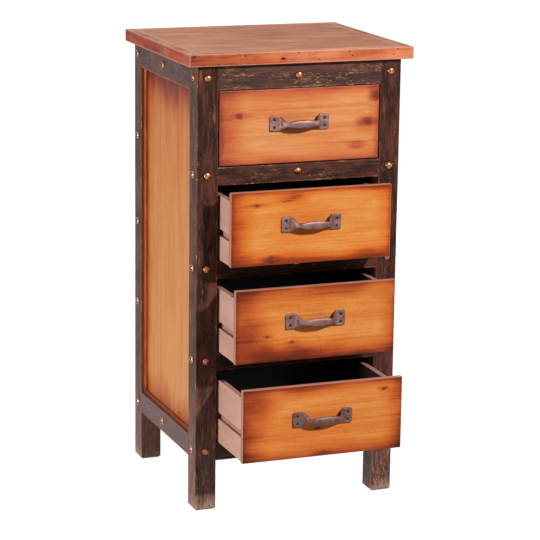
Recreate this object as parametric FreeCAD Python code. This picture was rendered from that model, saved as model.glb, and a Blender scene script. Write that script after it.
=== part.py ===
# Four-drawer bedside chest: a dark post-and-rail frame with panelled sides, honey-coloured
# drawers running on side runners, and a banded wooden top. Millimetres, +Z up, front towards -Y.
# The origin is at floor level, in the middle of the space that the chest takes up as it stands
# here, with its drawers drawn out by the distances in drawer_pulls.
import FreeCAD, Part
import math
import os

from FreeCAD import Vector

# Frame of posts and rails
post_size = 38.0
post_edge_radius = 1.2
foot_wear = 3.5
opening_width = 295.0
carcass_depth = 344.0
leg_clearance = 89.0
front_rail_height = 30.5
front_rail_depth = 24.0
drawer_opening_height = 131.5
top_rail_height = 42.0
side_rail_lift = 3.0
side_bottom_rail_height = 38.0
side_top_rail_height = 43.0
side_rail_thickness = 22.0
tenon_length = 12.0
tenon_thickness = 8.0
tenon_shoulder = 4.0
mortise_end_gap = 0.5

# Panels let into grooves, and the bead round each side panel
side_panel_recess = 11.0
side_panel_thickness = 8.0
back_panel_recess = 7.0
back_panel_thickness = 6.0
panel_groove_depth = 6.0
panel_side_gap = 0.4
bead_width = 5.0
bead_height = 5.0
bead_round = 3.0

# Top board and its mitred edge bands
top_thickness = 21.0
top_band_width = 18.0
top_edge_radius = 1.2
side_overhang = 17.5
front_overhang = 12.0

# Drawers, from the uppermost down
drawer_pulls = [0.0, 62.0, 88.0, 128.0]
drawer_travel = 230.0
drawer_front_gap_side = 2.0
drawer_front_gap_top = 2.25
drawer_front_gap_bottom = 2.25
drawer_front_thickness = 10.0
drawer_front_edge_radius = 1.2
drawer_side_inset = 2.5
drawer_side_thickness = 10.0
drawer_side_drop = 15.5
drawer_box_length = 304.0
drawer_back_thickness = 10.0
drawer_back_drop = 6.0
drawer_bottom_thickness = 5.0
drawer_bottom_lift = 6.0
drawer_bottom_groove = 5.0
drawer_bottom_gap = 0.3

# Runners on the posts, in a groove along each drawer side
runner_groove_height = 12.0
runner_groove_depth = 6.0
runner_groove_lift = 42.0
runner_height = 11.0
runner_base_height = 15.0
runner_top_clearance = 0.3
runner_face_clearance = 0.5
runner_stop_gap = 0.3
runner_back_gap = 2.0

# Domed studs on the frame
stud_diameter = 13.0
stud_height = 4.2
stud_ring_count = 4
stud_side_count = 12
stud_lift = 2.5
front_middle_stud_shift = -3.0
side_middle_stud_shift = 9.0
back_stud_heights = [300.0, 451.0, 609.0]

# Cast bow handle: the feet are rectangular plates and the grip bows out between them
handle_length = 108.0
handle_lift = 5.0
foot_width = 18.0
foot_height = 27.0
foot_thickness = 3.5
foot_corner_radius = 3.0
foot_edge_chamfer = 0.8
handle_shift = -2.0
grip_stand_off = 20.0
grip_middle_height = 15.0
grip_middle_thickness = 6.8
grip_fullness = 2.1
swell_share = 0.55
neck_height = 10.2
neck_thickness = 5.8
neck_inset = 8.0
neck_drop = 3.0
shoulder_overlap = 4.0
shoulder_thickness = 4.2
shoulder_fullness = 3.6
shoulder_cover = 0.3
root_depth_share = 0.8
root_height_share = 0.93
section_point_count = 14
bow_section_count = 27
screw_spacing = 13.0
screw_edge_distance = 8.0
screw_head_diameter = 6.0
screw_hole_diameter = 3.0
screw_sink_depth = 2.2
screw_recess = 0.5
screw_side_count = 8

# How closely directions and places must agree when edges and faces are picked out
parallel_share = 0.999
place_tolerance = 0.001

# Sizes that follow from the ones above
drawer_count = len(drawer_pulls)
drawer_pitch = drawer_opening_height + front_rail_height
carcass_width = opening_width + 2 * post_size
half_width = carcass_width / 2
half_opening = opening_width / 2
front_frame_top = leg_clearance + drawer_count * drawer_pitch
carcass_height = front_frame_top + top_rail_height
side_rail_bottom = leg_clearance + side_rail_lift
side_panel_bottom = side_rail_bottom + side_bottom_rail_height
side_panel_top = carcass_height - side_top_rail_height
back_post_front = carcass_depth - post_size
side_groove_x = half_width - side_panel_recess - side_panel_thickness
back_groove_y = carcass_depth - back_panel_recess - back_panel_thickness
front_tenon_y = (front_rail_depth - tenon_thickness) / 2
drawer_front_width = opening_width - 2 * drawer_front_gap_side
drawer_front_height = drawer_opening_height - drawer_front_gap_top - drawer_front_gap_bottom
drawer_half_box = drawer_front_width / 2 - drawer_side_inset
drawer_side_height = drawer_front_height - drawer_side_drop
drawer_back_end = drawer_front_thickness + drawer_box_length
handle_reach = grip_stand_off + grip_middle_thickness / 2
front_plane_y = (max(drawer_pulls) + handle_reach - carcass_depth) / 2


# A box between two opposite corners
def block(x_low, x_high, y_low, y_high, z_low, z_high):
    corner = Vector(x_low, y_low, z_low)
    return Part.makeBox(x_high - x_low, y_high - y_low, z_high - z_low, corner)


# The same piece for the other side of the chest
def other_side(shape):
    return shape.mirror(Vector(0, 0, 0), Vector(1, 0, 0))


def moved(shape, x=0.0, y=0.0, z=0.0):
    copy = shape.copy()
    copy.translate(Vector(x, y, z))
    return copy


# The straight edges that run along one axis
def edges_along(shape, axis):
    edges = []
    for edge in shape.Edges:
        direction = edge.lastVertex().Point - edge.firstVertex().Point
        if abs(direction.normalize().dot(axis)) > parallel_share:
            edges.append(edge)
    return edges


# The edges round a face that lies in the plane y = level, in front of the rest of the shape
def front_edges(shape, level):
    return [edge for edge in shape.Edges if edge.BoundBox.YMax < level + place_tolerance]


# Heights of the five front rails, from the lowest up, as pairs of bottom and top
def front_rail_levels():
    levels = []
    for step in range(drawer_count):
        low = leg_clearance + step * drawer_pitch
        levels.append((low, low + front_rail_height))
    levels.append((front_frame_top, carcass_height))
    return levels


# Heights of the two rails of a side or of the back
def side_rail_levels():
    return [(side_rail_bottom, side_panel_bottom), (side_panel_top, carcass_height)]


# A tenon for a front rail, on the left post, or the mortise that takes it
def front_tenon(low, high, extra=0.0):
    return block(-half_opening - tenon_length - extra, -half_opening,
                 front_tenon_y, front_tenon_y + tenon_thickness,
                 low + tenon_shoulder, high - tenon_shoulder)


# A tenon for a side rail, into the front post or the back post
def side_tenon(low, high, into_front, extra=0.0):
    reach = tenon_length + extra
    y_low = post_size - reach if into_front else back_post_front
    return block(-side_groove_x - side_panel_thickness, -side_groove_x, y_low, y_low + reach,
                 low + tenon_shoulder, high - tenon_shoulder)


# A tenon for a back rail, on the left post
def back_tenon(low, high, extra=0.0):
    return block(-half_opening - tenon_length - extra, -half_opening,
                 back_groove_y, back_groove_y + back_panel_thickness,
                 low + tenon_shoulder, high - tenon_shoulder)


# A square post with eased edges and a worn foot
def plain_post(y_low):
    post = block(-half_width, -half_opening, y_low, y_low + post_size, 0, carcass_height)
    post = post.makeFillet(post_edge_radius, edges_along(post, Vector(0, 0, 1)))
    centre = Vector(-half_width + post_size / 2, y_low + post_size / 2, 0)
    half_foot = post_size / 2 - foot_wear
    spread = half_foot + carcass_height
    lower = square_wire(centre, half_foot, 0)
    upper = square_wire(centre, spread, carcass_height)
    return post.common(Part.makeLoft([lower, upper], True, True))


def square_wire(centre, half_side, height):
    corners = []
    for x_sign, y_sign in ((-1, -1), (1, -1), (1, 1), (-1, 1)):
        corners.append(Vector(centre.x + x_sign * half_side, centre.y + y_sign * half_side, height))
    return Part.makePolygon(corners + corners[:1])


def side_panel_groove(y_low, y_high):
    return block(-side_groove_x - side_panel_thickness, -side_groove_x, y_low, y_high,
                 side_panel_bottom - panel_groove_depth, side_panel_top + panel_groove_depth)


def make_front_post():
    post = plain_post(0.0)
    post = post.cut(side_panel_groove(post_size - panel_groove_depth, post_size))
    for low, high in front_rail_levels():
        post = post.cut(front_tenon(low, high, mortise_end_gap))
    for low, high in side_rail_levels():
        post = post.cut(side_tenon(low, high, True, mortise_end_gap))
    return post


def make_back_post():
    post = plain_post(back_post_front)
    post = post.cut(side_panel_groove(back_post_front, back_post_front + panel_groove_depth))
    back_groove = block(-half_opening - panel_groove_depth, -half_opening,
                        back_groove_y, back_groove_y + back_panel_thickness,
                        side_panel_bottom - panel_groove_depth, side_panel_top + panel_groove_depth)
    post = post.cut(back_groove)
    for low, high in side_rail_levels():
        post = post.cut(side_tenon(low, high, False, mortise_end_gap))
        post = post.cut(back_tenon(low, high, mortise_end_gap))
    return post


def make_front_rail(low, high):
    rail = block(-half_opening, half_opening, 0, front_rail_depth, low, high)
    tenon = front_tenon(low, high)
    return rail.fuse([tenon, other_side(tenon)]).removeSplitter()


# A rail of the left side, grooved for the panel along the edge that faces it
def make_side_rail(low, high):
    rail = block(-half_width, -half_width + side_rail_thickness, post_size, back_post_front, low, high)
    rail = rail.fuse([side_tenon(low, high, True), side_tenon(low, high, False)]).removeSplitter()
    return rail.cut(side_panel_groove(post_size - tenon_length, back_post_front + tenon_length))


def make_back_rail(low, high):
    rail = block(-half_opening, half_opening, carcass_depth - side_rail_thickness, carcass_depth, low, high)
    tenon = back_tenon(low, high)
    rail = rail.fuse([tenon, other_side(tenon)]).removeSplitter()
    reach = half_opening + tenon_length
    groove = block(-reach, reach, back_groove_y, back_groove_y + back_panel_thickness,
                   side_panel_bottom - panel_groove_depth, side_panel_top + panel_groove_depth)
    return rail.cut(groove)


# Panels stand on the floor of the lower groove and have a little room above and at the sides
def make_side_panel():
    margin = panel_groove_depth - panel_side_gap
    return block(-side_groove_x - side_panel_thickness, -side_groove_x,
                 post_size - margin, back_post_front + margin,
                 side_panel_bottom - panel_groove_depth, side_panel_top + margin)


def make_back_panel():
    reach = half_opening + panel_groove_depth - panel_side_gap
    return block(-reach, reach, back_groove_y, back_groove_y + back_panel_thickness,
                 side_panel_bottom - panel_groove_depth,
                 side_panel_top + panel_groove_depth - panel_side_gap)


# A strip of moulding along +X from the origin, its outer edge on the X axis, mitred at both ends.
# The profile is a closed wire in the YZ plane.
def mitred_strip(profile, length, width, height):
    strip = Part.Face(profile).extrude(Vector(length, 0, 0))
    outline = Part.makePolygon([Vector(0, 0, 0), Vector(length, 0, 0), Vector(length - width, width, 0),
                                Vector(width, width, 0), Vector(0, 0, 0)])
    return strip.common(Part.Face(outline).extrude(Vector(0, 0, height)))


# Four mitred strips that frame a rectangle from the origin to (length, breadth)
def mitred_frame(profile, length, breadth, width, height):
    strips = []
    for turn in range(4):
        side = length if turn % 2 == 0 else breadth
        corner = [(0, 0), (length, 0), (length, breadth), (0, breadth)][turn]
        strip = mitred_strip(profile, side, width, height)
        strip.rotate(Vector(0, 0, 0), Vector(0, 0, 1), 90 * turn)
        strip.translate(Vector(corner[0], corner[1], 0))
        strips.append(strip)
    return strips


# Edge band of the top: a rectangle with both outer edges eased
def top_band_profile():
    section = Part.makePolygon([Vector(0, 0, 0), Vector(0, top_band_width, 0),
                                Vector(0, top_band_width, top_thickness),
                                Vector(0, 0, top_thickness), Vector(0, 0, 0)])
    prism = Part.Face(section).extrude(Vector(1, 0, 0))
    edges = []
    for edge in prism.Edges:
        ends = [vertex.Point for vertex in edge.Vertexes]
        if all(end.y < place_tolerance for end in ends) and abs(ends[0].x - ends[1].x) > place_tolerance:
            edges.append(edge)
    prism = prism.makeFillet(top_edge_radius, edges)
    for face in prism.Faces:
        if face.BoundBox.XMax < place_tolerance:
            return face.OuterWire
    return section


# Bead: a square strip with its inner outer corner rounded over
def bead_profile():
    straight = bead_height - bead_round
    flat = bead_width - bead_round
    turn = Vector(0, flat + bead_round * math.sin(math.pi / 4), straight + bead_round * math.sin(math.pi / 4))
    points = [Vector(0, bead_width, straight), turn, Vector(0, flat, bead_height)]
    arc = Part.Arc(points[0], points[1], points[2]).toShape()
    path = [Vector(0, flat, bead_height), Vector(0, 0, bead_height), Vector(0, 0, 0),
            Vector(0, bead_width, 0), Vector(0, bead_width, straight)]
    return Part.Wire([arc] + Part.makePolygon(path).Edges)


# The four strips of the left side's bead, standing on the panel against the frame
def make_side_bead():
    length = back_post_front - post_size
    breadth = side_panel_top - side_panel_bottom
    strips = mitred_frame(bead_profile(), length, breadth, bead_width, bead_height)
    for strip in strips:
        strip.rotate(Vector(0, 0, 0), Vector(1, 0, 0), 90)
        strip.rotate(Vector(0, 0, 0), Vector(0, 0, 1), -90)
        strip.translate(Vector(-half_width + side_panel_recess, back_post_front, side_panel_bottom))
    return Part.makeCompound(strips)


def make_top():
    length = carcass_width + 2 * side_overhang
    breadth = carcass_depth + front_overhang
    names = ["top_edge_front", "top_edge_right", "top_edge_back", "top_edge_left"]
    bands = mitred_frame(top_band_profile(), length, breadth, top_band_width, top_thickness)
    pieces = {}
    for name, band in zip(names, bands):
        pieces[name] = moved(band, -length / 2, -front_overhang, carcass_height)
    half_length = length / 2 - top_band_width
    pieces["top_panel"] = block(-half_length, half_length, top_band_width - front_overhang,
                                breadth - front_overhang - top_band_width,
                                carcass_height, carcass_height + top_thickness)
    return pieces


# A solid of flat faces, from rings of points that follow each other along its length
def faceted_body(rings):
    faces = [flat_face(rings[0]), flat_face(rings[-1])]
    for near, far in zip(rings, rings[1:]):
        for number, corner in enumerate(near):
            following = (number + 1) % len(near)
            faces.append(flat_face([corner, near[following], far[following]]))
            faces.append(flat_face([corner, far[following], far[number]]))
    body = Part.makeSolid(Part.makeShell(faces))
    if body.Volume < 0:
        body.reverse()
    return body


def flat_face(corners):
    return Part.Face(Part.makePolygon(corners + corners[:1]))


# A small round piece with a regular polygon's outline, from pairs of height and radius
def small_round(levels, side_count):
    rings = []
    for height, radius in levels:
        ring = []
        for side in range(side_count):
            angle = 2 * math.pi * side / side_count
            ring.append(Vector(radius * math.cos(angle), radius * math.sin(angle), height))
        rings.append(ring)
    return faceted_body(rings).removeSplitter()


# A domed stud head standing on its flat face at the origin, its dome towards +Z
def make_stud():
    radius = stud_diameter / 2
    sphere_radius = (radius ** 2 + stud_height ** 2) / (2 * stud_height)
    centre = stud_height - sphere_radius
    rim_angle = math.atan2(radius, -centre)
    levels = []
    for ring in range(stud_ring_count):
        angle = rim_angle * (1 - ring / stud_ring_count)
        levels.append((centre + sphere_radius * math.cos(angle), sphere_radius * math.sin(angle)))
    return small_round(levels, stud_side_count)


def stud_levels():
    levels = []
    for low, high in front_rail_levels()[:-1]:
        levels.append((low + high) / 2 + stud_lift)
    levels.append((front_frame_top + carcass_height) / 2)
    return levels


def make_front_studs():
    stud = make_stud()
    stud.rotate(Vector(0, 0, 0), Vector(1, 0, 0), 90)
    post_middle = half_opening + post_size / 2
    studs = []
    for level in stud_levels():
        for x in (-post_middle, front_middle_stud_shift, post_middle):
            studs.append(moved(stud, x, 0, level))
    return Part.makeCompound(studs)


def make_side_studs():
    stud = make_stud()
    stud.rotate(Vector(0, 0, 0), Vector(0, 1, 0), -90)
    middle = carcass_depth / 2 + side_middle_stud_shift
    levels = stud_levels()
    places = [(post_size / 2, level) for level in levels]
    places.append((middle, (side_rail_bottom + side_panel_bottom) / 2))
    places.append((middle, (side_panel_top + carcass_height) / 2))
    places.append((carcass_depth - post_size / 2, levels[0]))
    places.append((carcass_depth - post_size / 2, levels[-1]))
    for height in back_stud_heights:
        places.append((carcass_depth - post_size / 2, height))
    return Part.makeCompound([moved(stud, -half_width, y, z) for y, z in places])


def drawer_front_bottom(index):
    step = drawer_count - 1 - index
    return leg_clearance + front_rail_height + step * drawer_pitch + drawer_front_gap_bottom


# The four runners of the left side, screwed to the inner faces of the posts. Each is a taller
# base beside the drawer with a tongue that fills the drawer's groove.
def make_runners():
    outer = half_opening
    inner = drawer_half_box - runner_groove_depth + runner_face_clearance
    base_face = drawer_half_box + runner_face_clearance
    y_low = drawer_front_thickness + runner_stop_gap
    y_high = back_groove_y - runner_back_gap
    runners = []
    for index in range(drawer_count):
        top = (drawer_front_bottom(index) + runner_groove_lift + runner_groove_height
               - runner_top_clearance)
        middle = top - runner_height / 2
        tongue = block(-base_face, -inner, y_low, y_high, top - runner_height, top)
        base = block(-outer, -base_face, y_low, y_high,
                     middle - runner_base_height / 2, middle + runner_base_height / 2)
        runners.append(base.fuse(tongue))
    return Part.makeCompound(runners)


# Drawer pieces, with the front's face at y = 0 and its lower edge at z = 0
def make_drawer_front():
    half = drawer_front_width / 2
    front = block(-half, half, 0, drawer_front_thickness, 0, drawer_front_height)
    front = front.makeFillet(drawer_front_edge_radius, front_edges(front, 0))
    return front.cut(drawer_bottom_space(drawer_bottom_groove))


# The space taken by the drawer bottom, let into the sides and the front by the same depth
def drawer_bottom_space(depth, gap=0.0):
    half = drawer_half_box - drawer_side_thickness + depth - gap
    return block(-half, half, drawer_front_thickness - depth + gap, drawer_back_end,
                 drawer_bottom_lift, drawer_bottom_lift + drawer_bottom_thickness)


def make_drawer_side():
    side = block(-drawer_half_box, -drawer_half_box + drawer_side_thickness,
                 drawer_front_thickness, drawer_back_end, 0, drawer_side_height)
    groove = block(-drawer_half_box, -drawer_half_box + runner_groove_depth,
                   drawer_front_thickness, drawer_back_end,
                   runner_groove_lift, runner_groove_lift + runner_groove_height)
    return side.cut(groove).cut(drawer_bottom_space(drawer_bottom_groove))


def make_drawer_back():
    half = drawer_half_box - drawer_side_thickness
    return block(-half, half, drawer_back_end - drawer_back_thickness, drawer_back_end,
                 drawer_bottom_lift + drawer_bottom_thickness, drawer_side_height - drawer_back_drop)


def make_drawer_bottom():
    return drawer_bottom_space(drawer_bottom_groove, drawer_bottom_gap)


# A closed section of the handle, square to the path at one place. Fullness 2 gives an ellipse,
# and a higher value fills it out towards a rectangle with soft corners.
def handle_section(place, along, height, thickness, fullness):
    across = Vector(0, 0, 1).cross(along)
    points = []
    for step in range(section_point_count):
        angle = 2 * math.pi * (step + 0.5) / section_point_count
        rise = math.copysign(abs(math.cos(angle)) ** (2 / fullness), math.cos(angle))
        reach = math.copysign(abs(math.sin(angle)) ** (2 / fullness), math.sin(angle))
        points.append(place + Vector(0, 0, rise * height / 2) + across * (reach * thickness / 2))
    return points


# Stations from the left foot to the middle of the grip: the place on the path, and a vector
# of the section's height, thickness and fullness
def handle_half_stations():
    foot_inner = handle_length / 2 - foot_width
    neck_x = foot_inner - neck_inset
    neck_y = grip_stand_off - neck_drop
    root_y = foot_thickness * root_depth_share
    root_height = foot_height * root_height_share
    start = Vector(-foot_inner - shoulder_overlap, -foot_thickness / 2, 0)
    root = Vector(-foot_inner, -root_y, 0)
    rise = Vector(-foot_inner + neck_inset / 2, -(root_y + neck_y) / 2, 0)
    neck = Vector(-neck_x, -neck_y, 0)
    swell = Vector(-neck_x * swell_share, -grip_stand_off, 0)
    middle = Vector(0, -grip_stand_off, 0)
    grip_size = Vector(grip_middle_height, grip_middle_thickness, grip_fullness)
    neck_size = Vector(neck_height, neck_thickness, grip_fullness)
    root_size = Vector(root_height, shoulder_thickness, shoulder_fullness)
    start_size = Vector(root_height, foot_thickness - 2 * shoulder_cover, shoulder_fullness)
    return [(start, start_size), (root, root_size), (rise, (root_size + neck_size) / 2),
            (neck, neck_size), (swell, (neck_size + 2 * grip_size) / 3), (middle, grip_size)]


# The bow of the handle: sections along a smooth curve through the stations
def make_bow():
    left_half = handle_half_stations()
    right_half = [(Vector(-place.x, place.y, 0), size) for place, size in reversed(left_half[:-1])]
    stations = left_half + right_half
    travelled = [0.0]
    for (here, _), (there, _) in zip(stations, stations[1:]):
        travelled.append(travelled[-1] + (there - here).Length)
    path = Part.BSplineCurve()
    path.interpolate(Points=[place for place, size in stations], Parameters=travelled)
    sizes = Part.BSplineCurve()
    sizes.interpolate(Points=[size for place, size in stations], Parameters=travelled)
    rings = []
    for step in range(bow_section_count):
        distance = travelled[-1] * step / (bow_section_count - 1)
        size = sizes.value(distance)
        rings.append(handle_section(path.value(distance), path.tangent(distance)[0], size.x, size.y, size.z))
    return faceted_body(rings)


# Cast handle, its feet on y = 0 and its middle over the origin
def make_handle():
    foot = make_handle_foot()
    handle = make_bow().fuse([foot, other_side(foot)])
    for x, z in screw_places():
        handle = handle.cut(moved(screw_cone(0), x, 0, z))
    return handle


# The left foot, with its outer corners rounded and its front edges eased
def make_handle_foot():
    outer = -handle_length / 2
    foot = block(outer, outer + foot_width, -foot_thickness, 0, -foot_height / 2, foot_height / 2)
    outer_corners = [edge for edge in edges_along(foot, Vector(0, 1, 0))
                     if edge.BoundBox.XMax < outer + foot_corner_radius]
    foot = foot.makeFillet(foot_corner_radius, outer_corners)
    return foot.makeChamfer(foot_edge_chamfer, front_edges(foot, -foot_thickness))


def screw_places():
    x = handle_length / 2 - screw_edge_distance
    places = []
    for x_sign in (-1, 1):
        for z_sign in (-1, 1):
            places.append((x_sign * x, z_sign * screw_spacing / 2))
    return places


# The countersink in a foot's face, from a depth below that face to its narrow end
def screw_cone(depth):
    mouth_radius = screw_head_diameter / 2
    tip_radius = screw_hole_diameter / 2
    radius = mouth_radius - (mouth_radius - tip_radius) * depth / screw_sink_depth
    cone = small_round([(depth, radius), (screw_sink_depth, tip_radius)], screw_side_count)
    cone.rotate(Vector(0, 0, 0), Vector(1, 0, 0), -90)
    return moved(cone, 0, -foot_thickness, 0)


# Countersunk screw heads, driven a little below the faces of the feet
def make_handle_screws():
    return Part.makeCompound([moved(screw_cone(screw_recess), x, 0, z) for x, z in screw_places()])


# The pieces of one drawer, which are the same in each
def make_drawer():
    handle_z = drawer_front_height / 2 + handle_lift
    side = make_drawer_side()
    return {
        "front": make_drawer_front(),
        "side_left": side,
        "side_right": other_side(side),
        "back": make_drawer_back(),
        "bottom": make_drawer_bottom(),
        "handle": moved(make_handle(), handle_shift, 0, handle_z),
        "handle_screws": moved(make_handle_screws(), handle_shift, 0, handle_z),
    }


def make_chest():
    pieces = make_top()
    front_post = make_front_post()
    back_post = make_back_post()
    pieces["post_front_left"] = front_post
    pieces["post_front_right"] = other_side(front_post)
    pieces["post_back_left"] = back_post
    pieces["post_back_right"] = other_side(back_post)
    rail_names = ["rail_front_bottom", "rail_front_lower", "rail_front_middle", "rail_front_upper",
                  "rail_front_top"]
    for name, (low, high) in zip(rail_names, front_rail_levels()):
        pieces[name] = make_front_rail(low, high)
    for place, (low, high) in zip(("bottom", "top"), side_rail_levels()):
        rail = make_side_rail(low, high)
        pieces["rail_left_" + place] = rail
        pieces["rail_right_" + place] = other_side(rail)
        pieces["rail_back_" + place] = make_back_rail(low, high)
    panel = make_side_panel()
    pieces["panel_left"] = panel
    pieces["panel_right"] = other_side(panel)
    pieces["panel_back"] = make_back_panel()
    bead = make_side_bead()
    pieces["bead_left"] = bead
    pieces["bead_right"] = other_side(bead)
    pieces["studs_front"] = make_front_studs()
    studs = make_side_studs()
    pieces["studs_left"] = studs
    pieces["studs_right"] = other_side(studs)
    runners = make_runners()
    pieces["runners_left"] = runners
    pieces["runners_right"] = other_side(runners)
    drawer = make_drawer()
    for index, pull in enumerate(drawer_pulls):
        for name, shape in drawer.items():
            node = "drawer_" + str(index + 1) + "_" + name
            pieces[node] = moved(shape, 0, -pull, drawer_front_bottom(index))
    return pieces


os.makedirs("parts", exist_ok=True)
for node, shape in make_chest().items():
    placed = moved(shape, 0, front_plane_y, 0)
    placed.exportStep("parts/" + node + ".step")
    print(node, len(placed.Solids), "solids", round(placed.Volume), "mm3", "valid", placed.isValid())
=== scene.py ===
import bpy
import bmesh
import math
from mathutils import Matrix, Vector


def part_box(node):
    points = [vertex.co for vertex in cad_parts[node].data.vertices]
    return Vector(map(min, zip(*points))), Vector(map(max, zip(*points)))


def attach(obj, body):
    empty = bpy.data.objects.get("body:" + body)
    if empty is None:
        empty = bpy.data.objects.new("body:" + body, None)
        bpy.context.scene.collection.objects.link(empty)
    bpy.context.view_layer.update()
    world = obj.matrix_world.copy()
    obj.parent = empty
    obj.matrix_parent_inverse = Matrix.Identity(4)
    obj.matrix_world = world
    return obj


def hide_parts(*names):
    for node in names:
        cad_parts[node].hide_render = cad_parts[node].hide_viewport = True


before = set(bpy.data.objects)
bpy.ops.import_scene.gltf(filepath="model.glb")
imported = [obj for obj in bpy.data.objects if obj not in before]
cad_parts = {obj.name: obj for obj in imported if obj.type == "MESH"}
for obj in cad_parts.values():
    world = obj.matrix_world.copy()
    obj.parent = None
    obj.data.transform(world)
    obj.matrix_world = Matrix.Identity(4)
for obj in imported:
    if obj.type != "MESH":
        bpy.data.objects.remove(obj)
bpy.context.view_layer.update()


# The camera.
# It stands a little above the chest's top and to its left, and looks slightly down at it, as the
# photograph does. A long lens keeps the posts nearly upright.
camera_place = Vector((-1.3905, -3.5673, 1.3016))
camera_yaw = math.radians(-21.0897)
camera_pitch = math.radians(-13.2828)
camera_roll = math.radians(0.7708)
camera_lens_mm = 148.32
camera_shift = (0.0006, -0.0015)


def new_object(name, data):
    made = bpy.data.objects.new(name, data)
    bpy.context.scene.collection.objects.link(made)
    return made


level_right = Vector((math.cos(camera_yaw), math.sin(camera_yaw), 0))
forward = Vector((-math.sin(camera_yaw) * math.cos(camera_pitch),
                  math.cos(camera_yaw) * math.cos(camera_pitch), math.sin(camera_pitch)))
level_up = level_right.cross(forward)
camera_right = level_right * math.cos(camera_roll) + level_up * math.sin(camera_roll)
camera_up = level_up * math.cos(camera_roll) - level_right * math.sin(camera_roll)
camera_data = bpy.data.cameras.new("camera")
camera_data.lens = camera_lens_mm
camera_data.shift_x, camera_data.shift_y = camera_shift
camera = new_object("camera", camera_data)
camera.matrix_world = (Matrix.Translation(camera_place)
                       @ Matrix((camera_right, camera_up, -forward)).transposed().to_4x4())
bpy.context.scene.camera = camera


# Posts and rails.
# Softwood squares and rails, mortised together, painted near-black and then rubbed back so that
# bare tan wood shows in short streaks along the grain, on the edges and at the foot of each post.

# a paint is its colour as a screen shows it and how strongly it covers
frame_black = (42, 22, 16)
frame_brown = (92, 52, 40)
frame_painted_sheen_grey = (136, 108, 106)
frame_leg_wear_and_bounce_grey = (156, 120, 112)
frame_fibre_paint = ((128, 84, 68), 0.45)
frame_rubbed_paint = ((158, 98, 54), 0.6)
frame_scratch_paint = ((192, 146, 122), 0.8)
frame_leg_scratch_paint = ((192, 146, 122), 0.6)
frame_fleck_paint = ((186, 150, 134), 0.5)
frame_front_fill_light_paint = ((158, 98, 76), 0.65)
frame_edge_brown_paint = ((126, 68, 34), 0.6)
frame_edge_tan_paint = ((204, 160, 138), 0.75)
frame_foot_paint = ((190, 150, 126), 0.75)
frame_rub_cover = 0.85
# patterns of noise for streaks
frame_cloud = ((18, 62, 62), 0.0, 5.0, 0.65)
frame_fibre = ((30, 300, 300), 3.0, 4.0, 0.7)
frame_patch = ((20, 64, 64), 17.0, 5.0, 0.65)
frame_scratch = ((110, 600, 600), 11.0, 3.0, 0.6)
frame_fleck = ((190, 330, 330), 29.0, 2.0, 0.5)
frame_ragged = ((55, 200, 200), 23.0, 4.0, 0.75)
frame_foot = ((14, 420, 420), 5.0, 3.0, 0.6)
# metres
frame_edge_wear = 0.0024
frame_edge_blur = 0.0006
frame_leg_lightening_height = 0.3
frame_foot_bare = 0.008
frame_foot_fade = 0.016
frame_foot_raggedness = 0.032
frame_bump = 0.0005
frame_roughness = 0.46
frame_gloss = 0.1


# A linear colour from screen values of 0 to 255
def tone(red, green, blue):
    linear = []
    for value in (red, green, blue):
        share = value / 255
        linear.append(share / 12.92 if share <= 0.04045 else ((share + 0.055) / 1.055) ** 2.4)
    return (*linear, 1.0)


def new_finish(name):
    material = bpy.data.materials.new(name)
    material.use_nodes = True
    tree = material.node_tree
    tree.nodes.clear()
    output = tree.nodes.new("ShaderNodeOutputMaterial")
    shader = tree.nodes.new("ShaderNodeBsdfPrincipled")
    tree.links.new(shader.outputs[0], output.inputs["Surface"])
    return material, tree, shader


def plug(tree, socket, value):
    if isinstance(value, bpy.types.NodeSocket):
        tree.links.new(value, socket)
    else:
        socket.default_value = value


def calc(tree, operation, first, second=0.0, third=None):
    made = tree.nodes.new("ShaderNodeMath")
    made.operation = operation
    plug(tree, made.inputs[0], first)
    plug(tree, made.inputs[1], second)
    if third is not None:
        plug(tree, made.inputs[2], third)
    return made.outputs[0]


def times(tree, first, second):
    return calc(tree, "MULTIPLY", first, second)


def minus(tree, first, second):
    return calc(tree, "SUBTRACT", first, second)


# value x weight + base
def weighted(tree, value, weight, base):
    return calc(tree, "MULTIPLY_ADD", value, weight, base)


def centred(tree, value):
    return minus(tree, value, 0.5)


# 0 below low, 1 above high, and a soft step between them; or the other way round where low is
# the greater
def soft_step(tree, value, low, high):
    made = tree.nodes.new("ShaderNodeMapRange")
    made.interpolation_type = "SMOOTHSTEP"
    plug(tree, made.inputs["Value"], value)
    made.inputs["From Min"].default_value = low
    made.inputs["From Max"].default_value = high
    return made.outputs["Result"]


def blend(tree, share, first, second):
    made = tree.nodes.new("ShaderNodeMix")
    made.data_type = "RGBA"
    made.clamp_result = True
    plug(tree, made.inputs[0], share)
    plug(tree, made.inputs[6], first)
    plug(tree, made.inputs[7], second)
    return made.outputs[2]


# A colour with a paint over it where the mask is 1
def cover(tree, colour, mask, paint):
    seen, strength = paint
    return blend(tree, times(tree, mask, strength), colour, tone(*seen))


def triple(tree, first, second, third):
    made = tree.nodes.new("ShaderNodeCombineXYZ")
    for socket, value in zip(made.inputs, (first, second, third)):
        plug(tree, socket, value)
    return made.outputs[0]


# Noise in board coordinates, stretched along the grain. A pattern is its cells per metre along,
# across and through the board, its own shift, its detail and its roughness.
def streaks(tree, board, seed, pattern):
    cells, shift, detail, roughness = pattern
    stretched = []
    for value, scale in zip(board, cells):
        stretched.append(weighted(tree, value, scale, seed + shift))
    made = tree.nodes.new("ShaderNodeTexNoise")
    plug(tree, made.inputs["Vector"], triple(tree, *stretched))
    made.inputs["Scale"].default_value = 1.0
    made.inputs["Detail"].default_value = detail
    made.inputs["Roughness"].default_value = roughness
    return made.outputs["Fac"]


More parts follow.
